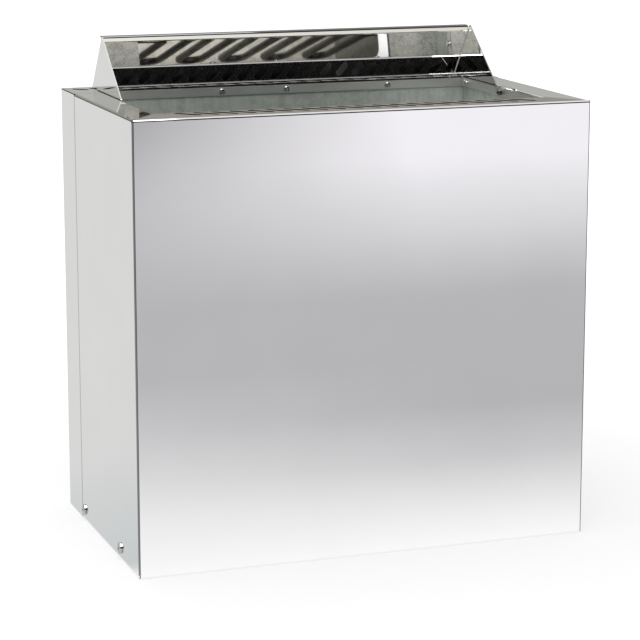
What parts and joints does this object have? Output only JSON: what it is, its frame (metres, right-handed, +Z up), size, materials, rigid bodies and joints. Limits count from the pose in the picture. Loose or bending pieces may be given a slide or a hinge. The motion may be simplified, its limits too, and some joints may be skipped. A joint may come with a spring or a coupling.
{
  "type": "sauna heater",
  "caption": "Free-standing electric sauna heater: a folded steel casing with a slotted rim round an open stone chamber with tubular elements, under a lift-off air-guide hood.",
  "frame": {"origin": "middle of the underside, on the floor", "axes": "+Z up, +X to the right seen from the front, +Y from the polished front to the back"},
  "size_m": [0.5066, 0.3, 0.535],
  "materials": {
    "polished_steel": "mirror polished",
    "galvanised_steel": "galvanised",
    "element_steel": "dark oxide",
    "screw_steel": "plated",
    "brass": "plain",
    "ceramic": "unglazed",
    "silicone": "matt",
    "black_plastic": "matt"
  },
  "bodies": {
    "casing": {"front_panel": "polished_steel", "left_side_panel": "polished_steel", "right_side_panel": "polished_steel", "back_panel": "polished_steel", "shield_plate": "polished_steel", "base_plate": "galvanised_steel", "inner_front_wall": "galvanised_steel", "inner_back_wall": "galvanised_steel", "inner_left_wall": "galvanised_steel", "inner_right_wall": "galvanised_steel", "left_terminal_housing": "galvanised_steel", "right_terminal_housing": "galvanised_steel", "chamber_floor": "galvanised_steel", "front_floor_rail": "galvanised_steel", "back_floor_rail": "galvanised_steel", "heating_element_1": "element_steel", "heating_element_2": "element_steel", "heating_element_3": "element_steel", "left_panel_screw_1": "screw_steel", "left_panel_screw_2": "screw_steel", "right_panel_screw_1": "screw_steel", "right_panel_screw_2": "screw_steel", "left_stop_pin": "screw_steel", "right_stop_pin": "screw_steel", "left_lip_screw": "screw_steel", "right_lip_screw": "screw_steel", "back_lip_screw_1": "screw_steel", "back_lip_screw_2": "screw_steel", "back_lip_screw_3": "screw_steel", "front_lip_screw_1": "screw_steel", "front_lip_screw_2": "screw_steel", "left_element_nut_1": "brass", "left_element_nut_2": "brass", "left_element_nut_3": "brass", "right_element_nut_1": "brass", "right_element_nut_2": "brass", "right_element_nut_3": "brass", "star_bar": "brass", "earth_stud": "brass", "earth_nut": "brass", "terminal_block": "ceramic", "phase_wire_1": "silicone", "phase_wire_2": "silicone", "phase_wire_3": "silicone", "gland_body": "black_plastic", "gland_lock_nut": "black_plastic", "gland_dome_nut": "black_plastic"},
    "hood": {"hood_plate": "polished_steel", "hood_left_cheek": "polished_steel", "hood_right_cheek": "polished_steel"}
  },
  "joints": [
    {"name": "hood_lift", "type": "slide", "parent": "casing", "child": "hood", "axis": [0, 0, 1], "range_m": [0, 0.1]}
  ]
}
